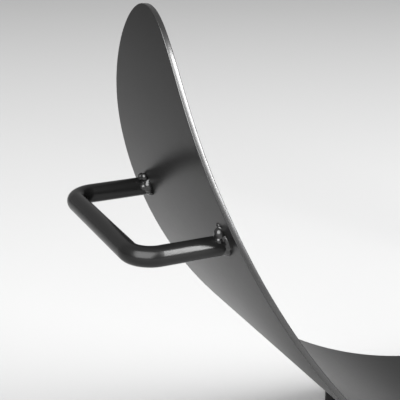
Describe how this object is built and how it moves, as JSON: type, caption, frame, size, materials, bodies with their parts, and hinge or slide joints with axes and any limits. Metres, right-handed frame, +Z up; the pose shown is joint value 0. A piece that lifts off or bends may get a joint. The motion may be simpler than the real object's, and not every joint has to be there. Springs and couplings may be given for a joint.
{
  "type": "firewood rack",
  "caption": "Long oval steel sheet rolled into an open cradle for firewood, with a bent round-bar handle at each end and round-bar sled feet below.",
  "frame": {"origin": "on the floor, midway between the two feet, under the middle of the belly", "axes": "+X along the cradle from handle to handle, +Y to the back, along the logs, +Z up"},
  "size_m": [0.8194, 0.255, 0.3819],
  "materials": {
    "sheet_coat": "satin black powder coat on smooth sheet",
    "bar_coat": "satin black powder coat on round bar",
    "weld_coat": "gloss black coat over lumpy weld metal",
    "glide_plastic": "matt black moulded plastic"
  },
  "bodies": {
    "root": {"cradle_sheet": "sheet_coat", "handle_left": "bar_coat", "handle_right": "bar_coat", "foot_left": "bar_coat", "foot_right": "bar_coat", "handle_left_weld_front": "weld_coat", "handle_left_weld_back": "weld_coat", "handle_right_weld_front": "weld_coat", "handle_right_weld_back": "weld_coat", "foot_left_weld_front": "weld_coat", "foot_left_weld_back": "weld_coat", "foot_right_weld_front": "weld_coat", "foot_right_weld_back": "weld_coat", "glide_left_front": "glide_plastic", "glide_left_back": "glide_plastic", "glide_right_front": "glide_plastic", "glide_right_back": "glide_plastic"}
  },
  "joints": []
}
